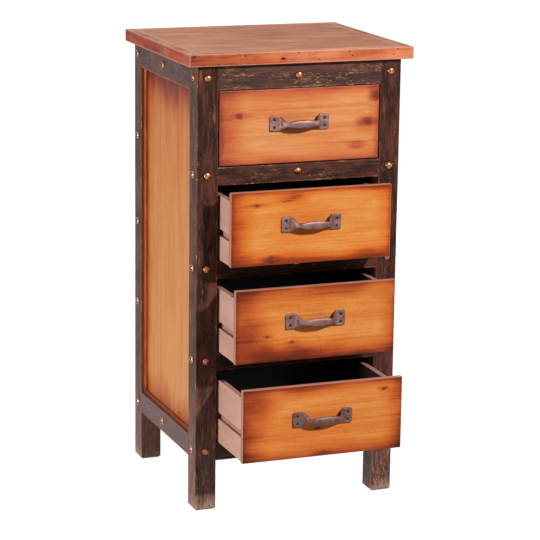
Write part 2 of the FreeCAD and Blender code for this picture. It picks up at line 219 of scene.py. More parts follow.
# Board coordinates of a box-shaped piece: metres from its middle along the grain, across its
# wider face and through its thickness, with its half sizes in the same order
def board_place(tree, node, along):
    low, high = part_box(node)
    centre = (low + high) / 2
    half = (high - low) / 2
    coordinates = tree.nodes.new("ShaderNodeTexCoord")
    offset = tree.nodes.new("ShaderNodeVectorMath")
    offset.operation = "SUBTRACT"
    tree.links.new(coordinates.outputs["Object"], offset.inputs[0])
    offset.inputs[1].default_value = centre
    split = tree.nodes.new("ShaderNodeSeparateXYZ")
    tree.links.new(offset.outputs[0], split.inputs[0])
    length = "xyz".index(along)
    crosswise = [axis for axis in range(3) if axis != length]
    order = [length] + sorted(crosswise, key=lambda axis: -round(half[axis], 6))
    return [split.outputs[axis] for axis in order], [half[axis] for axis in order]


# Distance in metres from a point on a box-shaped piece's surface to the nearest edge
def edge_distance(tree, board, half):
    inward = []
    for value, reach in zip(board, half):
        inward.append(minus(tree, reach, calc(tree, "ABSOLUTE", value)))
    first, second, third = inward
    lesser = calc(tree, "MINIMUM", first, second)
    greater = calc(tree, "MAXIMUM", first, second)
    return calc(tree, "MAXIMUM", lesser, calc(tree, "MINIMUM", greater, third))


def surface(tree, shader, colour, roughness, gloss=0.5, metal=0.0):
    plug(tree, shader.inputs["Base Color"], colour)
    plug(tree, shader.inputs["Roughness"], roughness)
    shader.inputs["Specular IOR Level"].default_value = gloss
    shader.inputs["Metallic"].default_value = metal


def bump(tree, shader, height, depth):
    made = tree.nodes.new("ShaderNodeBump")
    made.inputs["Distance"].default_value = depth
    plug(tree, made.inputs["Height"], height)
    tree.links.new(made.outputs[0], shader.inputs["Normal"])


# Distance from the middle of an oval patch, 1 at its rim; its middle is given in metres from the
# board's lower left corner
def patch_at(tree, board, half, x, y, width, height):
    du = calc(tree, "DIVIDE", minus(tree, board[0], x - half[0]), width / 2)
    dv = calc(tree, "DIVIDE", minus(tree, board[1], y - half[1]), height / 2)
    return calc(tree, "SQRT", calc(tree, "ADD", times(tree, du, du), times(tree, dv, dv)))


def dress(node, material):
    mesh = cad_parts[node].data
    mesh.materials.clear()
    mesh.materials.append(material)


# Wear widens the rubbed places; the leg setting lightens each leg near the floor, partly scraped paint and
# partly painted bounce light from the floor; rubs are single rubbed spots; inner paints the front face a
# lighter brown as painted fill light on a face in shade; and the sheen setting greys the whole piece as a
# painted sheen.
def frame_finish(node, along, seed, wear, leg_wear_and_bounce=0.0, rubs=(), inner=False, painted_sheen=0.0):
    material, tree, shader = new_finish("rubbed_black_" + node)
    board, half = board_place(tree, node, along)
    cloud = streaks(tree, board, seed, frame_cloud)
    fibre = streaks(tree, board, seed, frame_fibre)
    colour = blend(tree, soft_step(tree, cloud, 0.38, 0.68), tone(*frame_black), tone(*frame_brown))
    colour = cover(tree, colour, soft_step(tree, fibre, 0.52, 0.72), frame_fibre_paint)
    # a grey laid over the whole piece, a painted sheen
    colour = blend(tree, painted_sheen, colour, tone(*frame_painted_sheen_grey))
    # rubbed places, wide golden ones and short pale scratches gathered in patches
    patch = streaks(tree, board, seed, frame_patch)
    reach = 0.65 - 0.12 * wear
    bare = times(tree, soft_step(tree, patch, reach, reach + 0.12), soft_step(tree, fibre, 0.4, 0.6))
    colour = cover(tree, colour, bare, frame_rubbed_paint)
    scratch = streaks(tree, board, seed, frame_scratch)
    scratched = times(tree, soft_step(tree, scratch, 0.57, 0.64),
                      soft_step(tree, patch, reach - 0.06, reach + 0.08))
    colour = cover(tree, colour, scratched, frame_scratch_paint)
    fleck = streaks(tree, board, seed, frame_fleck)
    colour = cover(tree, colour, soft_step(tree, fleck, 0.75, 0.8), frame_fleck_paint)
    ragged = streaks(tree, board, seed, frame_ragged)
    for x, y, width, height, rub_colour in rubs:
        away = weighted(tree, centred(tree, ragged), 3.0, patch_at(tree, board, half, x, y, width, height))
        rubbed = times(tree, soft_step(tree, away, 1.1, 0.4), soft_step(tree, fibre, 0.38, 0.58))
        colour = cover(tree, colour, rubbed, (rub_colour, frame_rub_cover))
    # the front face painted a lighter brown, painted fill light on a face that lies in shade
    if inner:
        face = soft_step(tree, board[2], -half[2] + 0.0006, -half[2] + 0.0002)
        colour = cover(tree, colour, face, frame_front_fill_light_paint)
    # worn edges, a brown line with paler bare spots in it
    edge = edge_distance(tree, board, half)
    wear_reach = times(tree, soft_step(tree, ragged, 0.3, 0.6), frame_edge_wear)
    worn = soft_step(tree, minus(tree, wear_reach, edge), -0.0004, frame_edge_blur)
    colour = cover(tree, colour, worn, frame_edge_brown_paint)
    wear_reach = times(tree, soft_step(tree, ragged, 0.56 - 0.1 * wear, 0.7), frame_edge_wear)
    worn = soft_step(tree, minus(tree, wear_reach, edge), 0.0, frame_edge_blur)
    colour = cover(tree, colour, worn, frame_edge_tan_paint)
    # the legs lightened towards the floor, partly scraped paint and partly painted bounce light from the
    # floor
    if leg_wear_and_bounce:
        above_floor = calc(tree, "ADD", board[0], half[0])
        leg = times(tree, soft_step(tree, above_floor, frame_leg_lightening_height, 0.0),
                    soft_step(tree, fibre, 0.25, 0.65))
        colour = cover(tree, colour, leg, (frame_leg_wear_and_bounce_grey, leg_wear_and_bounce))
        scraped = times(tree, soft_step(tree, scratch, 0.54, 0.62), soft_step(tree, leg, 0.2, 0.7))
        colour = cover(tree, colour, scraped, frame_leg_scratch_paint)
        ragged_height = times(tree, streaks(tree, board, seed, frame_foot), frame_foot_raggedness)
        bare = soft_step(tree, minus(tree, above_floor, ragged_height), frame_foot_bare, -frame_foot_fade)
        bare = times(tree, bare, soft_step(tree, fibre, 0.3, 0.55))
        colour = cover(tree, colour, bare, frame_foot_paint)
    surface(tree, shader, colour, frame_roughness, frame_gloss)
    bump(tree, shader, fibre, frame_bump)
    dress(node, material)


# For each post: how much its leg is lightened towards the floor, by scraped paint and painted bounce light;
# whether its front face is painted lighter as fill light; and its rubbed spots
# (height, distance across, length, width, colour)
posts = {
    "post_front_left": (0.5, False, (
        (0.761, 0.005, 0.024, 0.012, (150, 82, 40)), (0.694, 0.031, 0.030, 0.007, (164, 106, 66)),
        (0.239, 0.030, 0.016, 0.006, (140, 86, 52)), (0.45, 0.004, 0.05, 0.006, (130, 78, 50)))),
    "post_front_right": (0.3, False, (
        (0.70, 0.008, 0.04, 0.006, (126, 78, 54)), (0.60, 0.034, 0.03, 0.005, (140, 92, 64)))),
    "post_back_left": (0.5, True, ()),
    "post_back_right": (0.5, True, ()),
}
for number, (post, (leg_wear_and_bounce, inner, rubs)) in enumerate(posts.items()):
    frame_finish(post, "z", 1.7 * number, 0.2, leg_wear_and_bounce, rubs, inner)
# wear and painted sheen of each rail
front_rails = {"top": (1.1, 0.12), "upper": (0.8, 0.02), "middle": (0.4, 0.0), "lower": (0.3, 0.0),
               "bottom": (0.3, 0.0)}
for number, (level, (wear, painted_sheen)) in enumerate(front_rails.items()):
    frame_finish("rail_front_" + level, "x", 20 + 2.3 * number, wear, painted_sheen=painted_sheen)
for number, (level, painted_sheen) in enumerate((("top", 0.1), ("bottom", 0.4))):
    frame_finish("rail_left_" + level, "y", 40 + 3.1 * number, 0.2, painted_sheen=painted_sheen)
    frame_finish("rail_right_" + level, "y", 50 + 3.1 * number, 0.2, painted_sheen=painted_sheen)
    frame_finish("rail_back_" + level, "x", 60 + 3.1 * number, 0.2)


# Side and back panels.
# Thin boards held in grooves of the posts and rails. The side panels are stained honey and
# burnt to a dark red-brown along their borders, under a satin varnish; the back is plain.

# tones run from the clearest stain to the darkest, as pairs of stain and colour
honey_tones = ((0.0, (230, 158, 86)), (0.2, (222, 134, 60)), (0.45, (218, 112, 44)), (0.72, (170, 68, 30)),
               (1.0, (90, 34, 22)))
knot_paint = ((112, 58, 38), 0.75)
pore_paint = ((150, 66, 28), 0.3)
sawn_paint = ((196, 140, 116), 0.8)
honey_ragged = ((150, 230, 230), 2.0, 3.0, 0.6)
honey_lumpy = ((60, 80, 80), 27.0, 1.0, 0.6)
honey_fibre = ((6, 600, 600), 4.0, 4.0, 0.7)
honey_pores = ((22, 620, 620), 6.0, 2.0, 0.6)
honey_bands = ((1.6, 115, 115), 7.0, 3.0, 0.6)
honey_lines = ((2.2, 300, 300), 15.0, 2.0, 0.6)
honey_cloud = ((9, 34, 34), 9.0, 3.0, 0.6)
honey_peel = ((420, 420, 420), 19.0, 1.0, 0.6)
honey_uneven = ((10, 16, 16), 13.0, 2.0, 0.5)
honey_roughness = 0.42
honey_gloss = 0.06
honey_bump = 0.0002
ring_sway = ((5, 12, 12), 0.0, 2.0, 0.6)
ring_sway_reach = 0.03


# Growth rings as a log shows them on a flat-sawn board: cones cut lengthwise. The result runs
# from 0 in the pale wood to 1 in the thin dark late wood. The rings come as how far the heart
# lies to the side, how deep, the slope of the log's axis and the ring's width.
def growth_rings(tree, board, rings, seed):
    heart, depth, slope, spacing = rings
    along, across, through = board
    sway = times(tree, centred(tree, streaks(tree, board, seed, ring_sway)), ring_sway_reach)
    sideways = calc(tree, "ADD", minus(tree, across, heart), sway)
    deep = calc(tree, "ADD", weighted(tree, along, slope, depth), through)
    deep = calc(tree, "ADD", deep, times(tree, sway, 0.6))
    radius = calc(tree, "SQRT", calc(tree, "ADD", times(tree, sideways, sideways), times(tree, deep, deep)))
    ring = calc(tree, "FRACT", calc(tree, "DIVIDE", radius, spacing))
    return times(tree, soft_step(tree, ring, 0.3, 0.88), soft_step(tree, ring, 1.0, 0.9))


# A colour ramp from pairs of place and screen colour
def ramp(tree, value, stops):
    made = tree.nodes.new("ShaderNodeValToRGB")
    plug(tree, made.inputs[0], value)
    elements = made.color_ramp.elements
    while len(elements) < len(stops):
        elements.new(1.0)
    for element, (place, colour) in zip(elements, stops):
        element.position = place
        element.color = tone(*colour)
    return made.outputs[0]


# Honey-stained board, with the stain sprayed darker towards the borders. Their widths and strengths
# come for the start and end of the grain, then for its two sides. Patches are sprayed places inside
# the board, knots push the grain aside, fade darkens the board along its length, and burn scorches
# its rim.
def honey_finish(name, node, along, seed, rings, borders, patches=(), knots=(), tones=honey_tones,
                 fade=0.0, burn=0.0):
    material, tree, shader = new_finish(name)
    board, half = board_place(tree, node, along)
    straight = list(board)
    ragged = centred(tree, streaks(tree, straight, seed, honey_ragged))
    lumpy = centred(tree, streaks(tree, straight, seed, honey_lumpy))
    spots = []
    for x, y, width, height, strength in knots:
        away = patch_at(tree, straight, half, x, y, width, height)
        rough = weighted(tree, ragged, 1.0, weighted(tree, lumpy, 1.6, away))
        heart = weighted(tree, soft_step(tree, rough, 0.75, 0.25), 0.5, 0.5)
        core = times(tree, soft_step(tree, rough, 1.25, 0.85), heart)
        tail = weighted(tree, ragged, 1.0, patch_at(tree, straight, half, x, y, 3.2 * width, 1.3 * height))
        spots.append((times(tree, core, strength), times(tree, soft_step(tree, tail, 1.3, 0.3), strength)))
        push = times(tree, soft_step(tree, away, 4.5, 0.5), 0.75 * strength)
        off = minus(tree, board[1], y - half[1])
        board[1] = minus(tree, board[1], times(tree, push, off))
    late = growth_rings(tree, board, rings, seed)
    fibre = streaks(tree, board, seed, honey_fibre)
    pores = streaks(tree, board, seed, honey_pores)
    bands = streaks(tree, board, seed, honey_bands)
    lines = streaks(tree, board, seed, honey_lines)
    cloud = streaks(tree, board, seed, honey_cloud)
    peel = streaks(tree, straight, seed, honey_peel)
    uneven = centred(tree, streaks(tree, straight, seed, honey_uneven))
    # every shade of the stain leaves less of the wood clear
    shades = []
    for axis, (direction, (width, strength)) in zip((0, 0, 1, 1), zip((1, -1, 1, -1), borders)):
        inward = weighted(tree, straight[axis], direction, half[axis])
        inward = weighted(tree, uneven, 0.9 * width, inward)
        shades.append(times(tree, soft_step(tree, inward, width, -0.15 * width), strength))
    lengthwise = calc(tree, "ABSOLUTE", straight[0])
    crosswise = calc(tree, "ABSOLUTE", straight[1])
    rim = calc(tree, "MINIMUM", minus(tree, half[0], lengthwise), minus(tree, half[1], crosswise))
    rim = weighted(tree, uneven, 0.016, rim)
    shades.append(times(tree, soft_step(tree, rim, 0.009, 0.0), burn))
    for x, y, width, height, strength in patches:
        away = weighted(tree, uneven, 1.2, patch_at(tree, straight, half, x, y, width, height))
        shades.append(times(tree, soft_step(tree, away, 1.0, 0.1), strength))
    clear = 1.0
    for shade in shades:
        clear = times(tree, clear, minus(tree, 1.0, shade))
    for core, halo in spots:
        clear = times(tree, clear, weighted(tree, halo, -0.36, 1.0))
        clear = times(tree, clear, weighted(tree, core, -0.3, 1.0))
    # how much each kind of figure darkens the stain, less so where the stain is dark already
    late = times(tree, late, soft_step(tree, cloud, 0.35, 0.65))
    grain = times(tree, centred(tree, cloud), 0.5)
    for figure, weight in ((late, 0.08), (centred(tree, bands), 0.36), (centred(tree, fibre), 0.22),
                           (soft_step(tree, lines, 0.54, 0.64), 0.1), (centred(tree, peel), 0.26)):
        grain = weighted(tree, figure, weight, grain)
    grain = times(tree, grain, weighted(tree, clear, 0.6, 0.4))
    stain = weighted(tree, straight[0], fade, minus(tree, 1.12, clear))
    colour = ramp(tree, calc(tree, "ADD", stain, grain), tones)
    for core, _ in spots:
        colour = cover(tree, colour, core, knot_paint)
    colour = cover(tree, colour, soft_step(tree, pores, 0.6, 0.7), pore_paint)
    # the sawn edges were masked, so they stay plain
    ends = soft_step(tree, lengthwise, half[0] - 0.0007, half[0] - 0.0002)
    sides = soft_step(tree, crosswise, half[1] - 0.0007, half[1] - 0.0002)
    colour = cover(tree, colour, calc(tree, "MAXIMUM", ends, sides), sawn_paint)
    surface(tree, shader, colour, honey_roughness, honey_gloss)
    bump(tree, shader, fibre, honey_bump)
    return material


side_tones = ((0.0, (214, 146, 84)), (0.2, (204, 130, 70)), (0.45, (190, 104, 52)), (0.75, (148, 62, 34)),
              (1.0, (80, 30, 20)))
side_knots = ((0.42, 0.268, 0.012, 0.006, 0.5),)
side_borders = ((0.075, 0.75), (0.092, 0.72), (0.012, 0.4), (0.035, 0.75))
# the side panels darken towards the top and pale towards the bottom, a painted sheen
side_painted_sheen_fade = 0.55
left_rings = (0.03, 0.05, 0.02, 0.0075)
right_rings = (-0.04, 0.06, 0.02, 0.0075)
back_rings = (0.0, 0.08, 0.03, 0.010)
plain_tones = ((0.0, (222, 176, 136)), (0.5, (196, 146, 106)), (1.0, (136, 90, 60)))
plain_borders = ((0.01, 0.3),) * 4
dress("panel_left", honey_finish("honey_panel_left", "panel_left", "z", 3.0, left_rings, side_borders, (),
                                 side_knots, side_tones, side_painted_sheen_fade))
dress("panel_right", honey_finish("honey_panel_right", "panel_right", "z", 8.0, right_rings, side_borders, (),
                                  (), side_tones, side_painted_sheen_fade))
dress("panel_back", honey_finish("plain_back_board", "panel_back", "z", 12.0, back_rings, plain_borders, (),
                                 (), plain_tones))


# Bead round each side panel.
# Four mitred strips of small moulding pinned against the frame and stained red-brown, the lowest
# strip painted darker as shade.
bead_brown = (160, 74, 38)
bead_orange = (206, 112, 60)
bead_low_shade_paint = ((112, 54, 38), 0.75)
bead_fibre = ((30, 500, 500), 2.0, 3.0, 0.6)
bead_roughness = 0.5
bead_gloss = 0.06
bead_bump = 0.0002


def bead_finish(node):
    material, tree, shader = new_finish("stained_" + node)
    board, half = board_place(tree, node, "z")
    fibre = streaks(tree, board, 0.0, bead_fibre)
    colour = blend(tree, soft_step(tree, fibre, 0.35, 0.7), tone(*bead_brown), tone(*bead_orange))
    # painted shade on the lowest strip
    below = soft_step(tree, board[0], -half[0] + 0.016, -half[0] + 0.009)
    surface(tree, shader, cover(tree, colour, below, bead_low_shade_paint), bead_roughness, bead_gloss)
    bump(tree, shader, fibre, bead_bump)
    dress(node, material)


bead_finish("bead_left")
bead_finish("bead_right")


# Top.
# A board with four mitred bands round it, glued flush. It is stained a dusty red-brown with
# lighter bands, and its edges carry knots and dents.
top_tones = ((0.0, (208, 144, 108)), (0.4, (182, 110, 76)), (0.75, (142, 74, 50)), (1.0, (86, 42, 30)))
band_tones = ((0.0, (236, 152, 108)), (0.4, (204, 106, 66)), (0.75, (150, 62, 38)), (1.0, (64, 26, 20)))
side_band_tones = ((0.0, (194, 98, 64)), (0.4, (158, 70, 42)), (0.75, (110, 44, 32)), (1.0, (56, 26, 20)))
top_dust_and_sheen = (222, 176, 150)
top_worn_paint = (top_dust_and_sheen, 0.5)
top_dent_paint = ((66, 32, 26), 0.6)
top_fibre = ((14, 520, 520), 4.0, 4.0, 0.65)
top_cloud = ((11, 30, 30), 9.0, 5.0, 0.65)
top_ragged = ((260, 260, 260), 2.0, 2.0, 0.6)
top_dents = ((120, 240, 240), 31.0, 3.0, 0.6)
top_dusty = ((16, 34, 34), 37.0, 4.0, 0.6)
top_roughness = 0.5
top_gloss = 0.06
top_bump = 0.0003


def floor_height(tree):
    coordinates = tree.nodes.new("ShaderNodeTexCoord")
    split = tree.nodes.new("ShaderNodeSeparateXYZ")
    tree.links.new(coordinates.outputs["Object"], split.inputs[0])
    return split.outputs["Z"]


# Grain says how strongly the rings show and fade how the stain darkens along the board. Dust lies
# in patches all over, and the lid setting pales the upper face alone, partly dust and partly a painted sheen.
def top_finish(node, along, seed, rings, tones, knots=(), grain=0.16, fade=0.0, dust=0.15, lid_dust_and_sheen=0.3):
    material, tree, shader = new_finish("stained_" + node)
    board, half = board_place(tree, node, along)
    late = growth_rings(tree, board, rings, seed)
    fibre = streaks(tree, board, seed, top_fibre)
    cloud = streaks(tree, board, seed, top_cloud)
    ragged = centred(tree, streaks(tree, board, seed, top_ragged))
    stain = weighted(tree, centred(tree, cloud), 1.1, 0.36)
    for figure, weight in ((board[0], fade), (late, grain), (centred(tree, fibre), 0.4)):
        stain = weighted(tree, figure, weight, stain)
    for x, y, width, height in knots:
        away = weighted(tree, ragged, 1.2, patch_at(tree, board, half, x, y, width, height))
        stain = calc(tree, "ADD", stain, times(tree, soft_step(tree, away, 1.9, 0.7), 0.25))
        stain = calc(tree, "ADD", stain, times(tree, soft_step(tree, away, 1.0, 0.5), 0.5))
    colour = ramp(tree, stain, tones)
    dents = streaks(tree, board, seed, top_dents)
    colour = cover(tree, colour, soft_step(tree, dents, 0.68, 0.74), top_dent_paint)
    dusty = streaks(tree, board, seed, top_dusty)
    _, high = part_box(node)
    # the upper face paled, partly dust and partly a painted sheen
    upper_face_pale = times(tree, soft_step(tree, floor_height(tree), high.z - 0.0006, high.z - 0.0002), lid_dust_and_sheen)
    colour = blend(tree, times(tree, soft_step(tree, dusty, 0.3, 0.6), upper_face_pale), colour, tone(*top_dust_and_sheen))
    colour = cover(tree, colour, soft_step(tree, dusty, 0.5, 0.72), (top_dust_and_sheen, dust))
    edge = edge_distance(tree, board, half)
    worn = soft_step(tree, weighted(tree, ragged, 0.003, edge), 0.0028, 0.0006)
    surface(tree, shader, cover(tree, colour, worn, top_worn_paint), top_roughness, top_gloss)
    bump(tree, shader, fibre, top_bump)
    dress(node, material)


# distance along the front from its left end, height above the top's underside, width and height
top_front_knots = (
    (0.0511, 0.003, 0.003, 0.002), (0.0985, 0.016, 0.003, 0.002), (0.1663, 0.009, 0.008, 0.005),
    (0.1941, 0.018, 0.003, 0.002), (0.2315, 0.006, 0.003, 0.002), (0.2865, 0.017, 0.004, 0.002),
    (0.2925, 0.010, 0.003, 0.002), (0.3765, 0.018, 0.004, 0.002), (0.369, 0.009, 0.003, 0.002),
    (0.0075, 0.019, 0.007, 0.004))
top_panel_rings = (0.03, 0.05, 0.05, 0.009)
top_band_rings = (0.01, 0.04, 0.02, 0.006)
top_finish("top_panel", "x", 5.0, top_panel_rings, top_tones, grain=0.12, fade=0.6, dust=0.3, lid_dust_and_sheen=0.1)
top_finish("top_edge_front", "x", 14.0, top_band_rings, band_tones, top_front_knots, fade=-0.9)
top_finish("top_edge_back", "x", 24.0, top_band_rings, band_tones)
top_finish("top_edge_left", "y", 34.0, top_band_rings, side_band_tones, lid_dust_and_sheen=0.5)
top_finish("top_edge_right", "y", 44.0, top_band_rings, side_band_tones)


# Runners.
# Plain hardwood strips screwed to the posts, painted near-black as the shade inside the carcass, on
# which the drawers hang by the grooves in their sides.
runner_shade_black = (26, 19, 18)
runner_shade_brown = (52, 38, 32)
runner_fibre = ((10, 500, 500), 6.0, 3.0, 0.6)
runner_roughness = 0.6


def runner_finish(node):
    material, tree, shader = new_finish("shade_dark_" + node)
    board, _ = board_place(tree, node, "y")
    fibre = streaks(tree, board, 0.0, runner_fibre)
    colour = blend(tree, soft_step(tree, fibre, 0.35, 0.7), tone(*runner_shade_black), tone(*runner_shade_brown))
    surface(tree, shader, colour, runner_roughness)
    dress(node, material)


runner_finish("runners_left")
runner_finish("runners_right")


# Drawer fronts.
# Knotty honey-stained boards, burnt along their borders and varnished, each pinned to its
# drawer box by four small nails at either end, whose punched holes are drawn as dark discs of painted shade.

# For each drawer: growth rings; stain borders (left, right, bottom and top, as width and strength);
# sprayed patches; and knots. A patch and a knot have their distance from the left end and from the
# bottom, their width, height and strength.
drawer_grain = {
    "drawer_1": ((0.020, 0.030, 0.05, 0.0065),
                 ((0.055, 0.46), (0.026, 0.22), (0.026, 0.36), (0.018, 0.34)),
                 ((0.250, 0.024, 0.05, 0.022, 0.45), (0.283, 0.112, 0.04, 0.05, 0.5),
                  (0.268, 0.066, 0.06, 0.04, 0.35), (0.10, 0.118, 0.30, 0.03, 0.25),
                  (0.13, 0.07, 0.14, 0.06, 0.12)),
                 ((0.0366, 0.0844, 0.013, 0.010, 0.9), (0.2715, 0.0647, 0.016, 0.014, 1.0),
                  (0.2860, 0.1080, 0.010, 0.016, 0.9), (0.250, 0.0298, 0.056, 0.0018, 0.5))),
    "drawer_2": ((-0.015, 0.030, -0.06, 0.0060),
                 ((0.050, 0.6), (0.034, 0.32), (0.026, 0.6), (0.018, 0.5)),
                 ((0.105, 0.112, 0.09, 0.03, 0.3), (0.03, 0.01, 0.10, 0.05, 0.3),
                  (0.25, 0.01, 0.12, 0.04, 0.35), (0.13, 0.06, 0.16, 0.07, 0.2)),
                 ((0.0472, 0.1036, 0.018, 0.007, 0.9), (0.0737, 0.0107, 0.013, 0.012, 1.0),
                  (0.094, 0.1075, 0.010, 0.002, 0.7), (0.103, 0.1100, 0.012, 0.0022, 0.8),
                  (0.111, 0.1130, 0.012, 0.0022, 0.8), (0.118, 0.1160, 0.010, 0.002, 0.7))),
    "drawer_3": ((0.010, 0.035, 0.05, 0.0070),
                 ((0.070, 0.56), (0.034, 0.5), (0.040, 0.7), (0.032, 0.56)),
                 ((0.10, 0.010, 0.16, 0.055, 0.4), (0.03, 0.03, 0.09, 0.10, 0.3),
                  (0.27, 0.11, 0.06, 0.05, 0.3)),
                 ((0.0565, 0.0446, 0.006, 0.006, 1.0), (0.1020, 0.0320, 0.011, 0.007, 0.7),
                  (0.1080, 0.0220, 0.012, 0.006, 0.35))),
    "drawer_4": ((-0.020, 0.030, -0.04, 0.0062),
                 ((0.065, 0.7), (0.034, 0.5), (0.030, 0.62), (0.024, 0.56)),
                 ((0.275, 0.10, 0.07, 0.06, 0.3), (0.02, 0.10, 0.10, 0.07, 0.25),
                  (0.13, 0.06, 0.16, 0.06, 0.14)),
                 ((0.2567, 0.1090, 0.008, 0.007, 0.9), (0.1460, 0.0066, 0.012, 0.007, 0.8),
                  (0.1359, 0.0503, 0.009, 0.005, 0.8))),
}
pink_tones = ((0.0, (230, 158, 100)), (0.2, (218, 134, 78)), (0.45, (208, 110, 66)), (0.72, (170, 78, 56)),
              (1.0, (90, 34, 26)))
lower_tones = ((0.0, (222, 146, 76)), (0.2, (212, 122, 54)), (0.45, (198, 100, 44)), (0.72, (156, 64, 34)),
               (1.0, (78, 30, 18)))
drawer_tones = {"drawer_1": pink_tones, "drawer_2": honey_tones, "drawer_3": lower_tones,
                "drawer_4": lower_tones}
drawer_burn = 0.3
# millimetres from the left end and from the bottom
nail_places = {
    "drawer_1": ((6.1, 98.5), (5.4, 76.5), (6.7, 35.6), (6.0, 10.0), (284.7, 94.9), (283.9, 77.7),
                 (282.6, 32.4), (283.2, 10.3)),
    "drawer_2": ((8.2, 95.7), (8.7, 75.2), (11.5, 31.4), (9.9, 11.7), (285.6, 101.1), (286.1, 82.9),
                 (283.7, 34.2), (284.6, 14.9)),
    "drawer_3": ((4.8, 100.9), (4.9, 86.5), (5.5, 30.6), (5.7, 9.7), (286.2, 97.7), (285.1, 78.1),
                 (284.6, 28.7), (285.0, 9.0)),
    "drawer_4": ((4.1, 94.9), (4.3, 79.5), (3.6, 26.7), (5.5, 7.9), (286.0, 93.8), (286.5, 75.8),
                 (285.0, 31.7), (285.0, 9.7)),
}
nail_hole_width = 0.0018
nail_hole_shade_dark = (24, 10, 8)
nail_hole_shade_brown = (70, 34, 22)
nail_hole_cells = 900
nail_hole_roughness = 0.8
nail_hole_sides = 10
nail_hole_outline = ((0.0, -0.06), (0.5, -0.06), (0.5, 0.02), (0.3, 0.05), (0.0, 0.03))
for number, drawer in enumerate(drawer_grain):
    node = drawer + "_front"
    rings, borders, patches, knots = drawer_grain[drawer]
    dress(node, honey_finish("honey_" + node, node, "x", 30 + 7.3 * number, rings, borders, patches, knots,
                             drawer_tones[drawer], burn=drawer_burn))


def smooth_faces(mesh, smooth):
    for polygon in mesh.polygons:
        polygon.use_smooth = smooth


# Copies a small shape onto every point of a cloud by a node tree, and returns one plain mesh piece.
# Each point's own facing says which way the shape's +Z turns.
def set_at_points(name, points, facing, shape, material, width):
    cloud = bpy.data.meshes.new(name + "_points")
    cloud.from_pydata(points, [], [])
    cloud.attributes.new("facing", "FLOAT_VECTOR", "POINT")
    for item, direction in zip(cloud.attributes["facing"].data, facing):
        item.vector = direction
    holder = new_object(name + "_holder", cloud)
    tree = bpy.data.node_groups.new(name + "_tree", "GeometryNodeTree")
    tree.interface.new_socket("Points", in_out="INPUT", socket_type="NodeSocketGeometry")
    width_socket = tree.interface.new_socket("Width", in_out="INPUT", socket_type="NodeSocketFloat")
    tree.interface.new_socket("Geometry", in_out="OUTPUT", socket_type="NodeSocketGeometry")
    enter = tree.nodes.new("NodeGroupInput")
    leave = tree.nodes.new("NodeGroupOutput")
    source = tree.nodes.new("GeometryNodeObjectInfo")
    source.inputs["Object"].default_value = shape
    attribute = tree.nodes.new("GeometryNodeInputNamedAttribute")
    attribute.data_type = "FLOAT_VECTOR"
    attribute.inputs["Name"].default_value = "facing"
    turn = tree.nodes.new("FunctionNodeAlignRotationToVector")
    turn.axis = "Z"
    copies = tree.nodes.new("GeometryNodeInstanceOnPoints")
    real = tree.nodes.new("GeometryNodeRealizeInstances")
    painted = tree.nodes.new("GeometryNodeSetMaterial")
    painted.inputs["Material"].default_value = material
    for output, socket in ((attribute.outputs["Attribute"], turn.inputs["Vector"]),
                           (enter.outputs["Points"], copies.inputs["Points"]),
                           (source.outputs["Geometry"], copies.inputs["Instance"]),
                           (turn.outputs["Rotation"], copies.inputs["Rotation"]),
                           (enter.outputs["Width"], copies.inputs["Scale"]),
                           (copies.outputs[0], real.inputs[0]),
                           (real.outputs[0], painted.inputs["Geometry"]),
                           (painted.outputs[0], leave.inputs[0])):
        tree.links.new(output, socket)
    modifier = holder.modifiers.new("copies", "NODES")
    modifier.node_group = tree
    modifier[width_socket.identifier] = width
    evaluated = holder.evaluated_get(bpy.context.evaluated_depsgraph_get())
    mesh = bpy.data.meshes.new_from_object(evaluated)
    mesh.name = name
    smooth_faces(mesh, True)
    bpy.data.objects.remove(holder)
    return new_object(name, mesh)


def finished_mesh(name, mesh):
    data = bpy.data.meshes.new(name)
    mesh.to_mesh(data)
    mesh.free()
    return data


# A turned shape of unit width about +Z, from pairs of radius and height, used only as the source of
# copies. Its rim attribute runs from 0 in the middle to 1 at the widest.
def turned_shape(name, outline, side_count):
    mesh = bmesh.new()
    rings = []
    for radius, height in outline:
        if radius == 0:
            rings.append([mesh.verts.new((0, 0, height))])
            continue
        ring = []
        for side in range(side_count):
            angle = 2 * math.pi * side / side_count
            ring.append(mesh.verts.new((radius * math.cos(angle), radius * math.sin(angle), height)))
        rings.append(ring)
    for below, above in zip(rings, rings[1:]):
        for side in range(side_count):
            after = (side + 1) % side_count
            corners = [below[side % len(below)], below[after % len(below)],
                       above[after % len(above)], above[side % len(above)]]
            unique = list(dict.fromkeys(corners))
            if len(unique) > 2:
                mesh.faces.new(unique)
    bmesh.ops.recalc_face_normals(mesh, faces=mesh.faces)
    data = finished_mesh(name, mesh)
    rim = data.attributes.new("rim", "FLOAT", "POINT")
    for item, vertex in zip(rim.data, data.vertices):
        item.value = 2 * math.hypot(vertex.co.x, vertex.co.y)
    return bpy.data.objects.new(name, data)


# Noise of one size all over, in cells per metre
def speckle(tree, cells, detail=2.0):
    coordinates = tree.nodes.new("ShaderNodeTexCoord")
    made = tree.nodes.new("ShaderNodeTexNoise")
    tree.links.new(coordinates.outputs["Object"], made.inputs["Vector"])
    made.inputs["Scale"].default_value = cells
    made.inputs["Detail"].default_value = detail
    return made.outputs["Fac"]


